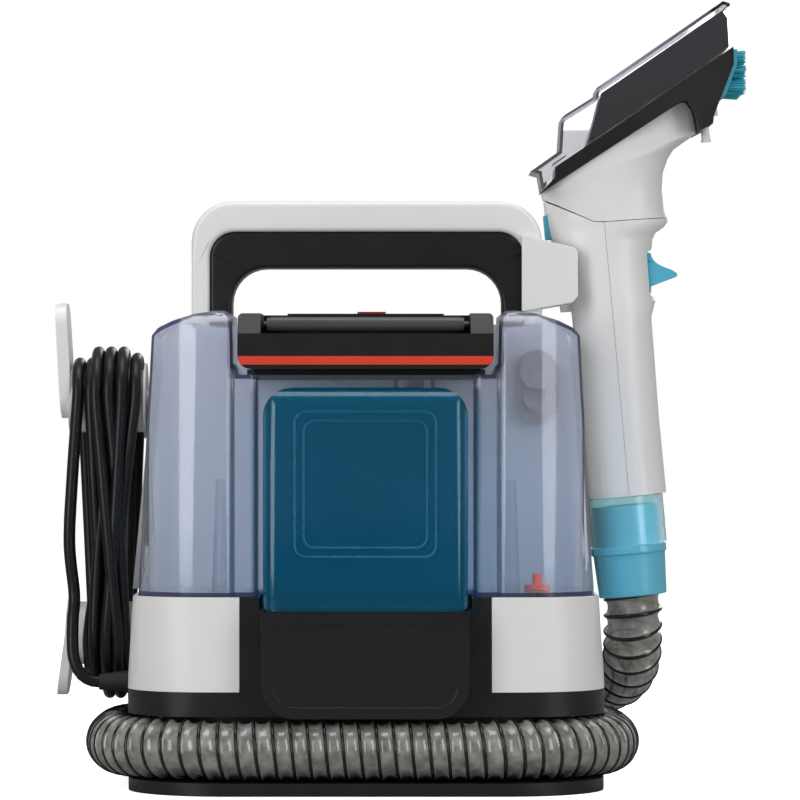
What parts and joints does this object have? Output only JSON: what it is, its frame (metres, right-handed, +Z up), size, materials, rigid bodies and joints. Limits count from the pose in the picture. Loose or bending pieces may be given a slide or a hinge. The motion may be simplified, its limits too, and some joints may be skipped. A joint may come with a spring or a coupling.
{
  "type": "spot extractor",
  "caption": "Portable spot extractor with a clear recovery tank, teal solution tank, ribbed suction hose, stored hand wand and wound mains lead",
  "frame": {"origin": "On the floor, under the middle of the base plate", "axes": "X to the machine's right as seen from its front, Y from the front to the back, Z up; the solution tank faces -Y"},
  "size_m": [0.4375, 0.2584, 0.4915],
  "materials": {
    "black_plastic": "satin moulded black, fine grain",
    "white_plastic": "warm white moulding, satin",
    "grey_plastic": "mid grey moulded plastic",
    "rubber_pad": "soft rubber",
    "steel": "zinc plated steel",
    "motor_metal": "cast motor can",
    "cord_black": "matte black flexible sheath",
    "hose_plastic": "smoky translucent ribbed hose with a dark helix",
    "tank_clear": "clear plastic with a lavender-blue tint, glossy",
    "tank_teal": "clear plastic with a deep teal tint, glossy",
    "clear_plastic": "water-clear plastic, glossy",
    "teal_plastic": "teal moulding, glossy",
    "orange_plastic": "orange-red moulding, satin",
    "red_plastic": "dark red moulding, satin",
    "float_plastic": "ivory foam-like plastic"
  },
  "bodies": {
    "chassis": {"base_plate": "black_plastic", "foot_pads": "rubber_pad", "chassis_screws": "steel", "lower_housing": "black_plastic", "left_side_panel": "white_plastic", "right_side_panel": "white_plastic", "front_shield": "black_plastic", "tower_shell": "white_plastic", "back_cover": "white_plastic", "handle_shell": "white_plastic", "handle_grip": "black_plastic", "wand_holder": "white_plastic", "cord_rail": "white_plastic", "lower_cord_hook": "white_plastic", "strain_relief": "cord_black", "hose_port": "black_plastic", "suction_motor": "motor_metal", "motor_mount": "rubber_pad", "fan_housing": "grey_plastic", "suction_duct": "grey_plastic", "solution_pump": "grey_plastic", "power_switch": "black_plastic", "suction_hose": "hose_plastic", "cord_winding": "cord_black", "cord_lead": "cord_black", "mains_plug": "cord_black"},
    "recovery_tank_body": {"recovery_tank": "tank_clear", "inlet_port": "tank_clear"},
    "lid_body": {"tank_lid": "black_plastic", "lid_stripe": "orange_plastic", "lid_gasket": "rubber_pad", "float_cage": "grey_plastic"},
    "bail_body": {"tank_bail": "grey_plastic"},
    "float_body": {"tank_float": "float_plastic"},
    "tank_valve_body": {"tank_valve": "orange_plastic"},
    "solution_tank_body": {"solution_tank": "tank_teal", "vent_plug": "teal_plastic"},
    "filler_cap_body": {"filler_cap": "teal_plastic"},
    "solution_valve_body": {"solution_valve": "orange_plastic"},
    "power_button_body": {"power_button": "red_plastic"},
    "cord_hook_body": {"upper_cord_hook": "white_plastic"},
    "wand_body": {"grip_rear_shell": "white_plastic", "grip_front_shell": "white_plastic", "air_duct": "grey_plastic", "spray_valve": "grey_plastic", "trigger_pin": "steel", "swivel_collar": "tank_teal"},
    "trigger_body": {"spray_trigger": "teal_plastic"},
    "release_body": {"release_button": "teal_plastic"},
    "nozzle_body": {"head_shell": "white_plastic", "nozzle_frame": "black_plastic", "nozzle_cover": "clear_plastic", "nozzle_liner": "black_plastic", "brush_block": "teal_plastic", "bristles": "teal_plastic", "spray_tips": "white_plastic"},
    "cuff_body": {"hose_cuff": "teal_plastic"},
    "impeller_body": {"impeller": "motor_metal"},
    "pump_body": {"pump_piston": "steel"}
  },
  "joints": [
    {"name": "tank_lift", "type": "slide", "parent": "chassis", "child": "recovery_tank_body", "axis": [0, 0, 1], "range_m": [0, 0.19]},
    {"name": "lid_lift", "type": "slide", "parent": "recovery_tank_body", "child": "lid_body", "axis": [0, 0, 1], "range_m": [0, 0.09]},
    {"name": "bail_fold", "type": "hinge", "parent": "lid_body", "child": "bail_body", "pos_m": [0, -0.028, 0.2868], "axis": [-1, 0, 0], "range_deg": [0, 90]},
    {"name": "float_rise", "type": "slide", "parent": "lid_body", "child": "float_body", "axis": [0, 0, 1], "range_m": [0, 0.04]},
    {"name": "tank_valve_lift", "type": "slide", "parent": "recovery_tank_body", "child": "tank_valve_body", "axis": [0, 0, 1], "range_m": [0, 0.003], "stiffness_N_per_m": 200},
    {"name": "solution_tank_slide", "type": "slide", "parent": "chassis", "child": "solution_tank_body", "axis": [0, -1, 0], "range_m": [0, 0.09]},
    {"name": "filler_cap_turn", "type": "hinge", "parent": "solution_tank_body", "child": "filler_cap_body", "pos_m": [0.009, -0.054, 0.2096], "axis": [0, 1, 0], "range_deg": [0, 90]},
    {"name": "solution_valve_lift", "type": "slide", "parent": "solution_tank_body", "child": "solution_valve_body", "axis": [0, 0, 1], "range_m": [0, 0.003], "stiffness_N_per_m": 200},
    {"name": "power_button_press", "type": "slide", "parent": "chassis", "child": "power_button_body", "axis": [0, 0, -1], "range_m": [0, 0.003], "stiffness_N_per_m": 600},
    {"name": "cord_hook_turn", "type": "hinge", "parent": "chassis", "child": "cord_hook_body", "pos_m": [-0.16, 0.037, 0.24], "axis": [1, 0, 0], "range_deg": [0, 180]},
    {"name": "wand_lift", "type": "slide", "parent": "chassis", "child": "wand_body", "axis": [-0.0905, 0, 0.9959], "range_m": [0, 0.03]},
    {"name": "trigger_pull", "type": "hinge", "parent": "wand_body", "child": "trigger_body", "pos_m": [0.17477, 0.04, 0.3296], "axis": [0, 1, 0], "range_deg": [0, 9], "stiffness_Nm_per_rad": 0.3},
    {"name": "release_press", "type": "slide", "parent": "wand_body", "child": "release_body", "axis": [0.9959, 0, 0.0905], "range_m": [0, 0.0025], "stiffness_N_per_m": 500},
    {"name": "nozzle_lift", "type": "slide", "parent": "wand_body", "child": "nozzle_body", "axis": [-0.0905, 0, 0.9959], "range_m": [0, 0.06]},
    {"name": "cuff_swivel", "type": "hinge", "parent": "wand_body", "child": "cuff_body", "pos_m": [0.1698, 0.04, 0.11577], "axis": [-0.0905, 0, 0.9959], "continuous": true},
    {"name": "impeller_spin", "type": "hinge", "parent": "chassis", "child": "impeller_body", "pos_m": [0, 0.0475, 0.19], "axis": [0, 0, 1], "continuous": true},
    {"name": "pump_stroke", "type": "slide", "parent": "chassis", "child": "pump_body", "axis": [1, 0, 0], "range_m": [0, 0.004], "stiffness_N_per_m": 300}
  ]
}
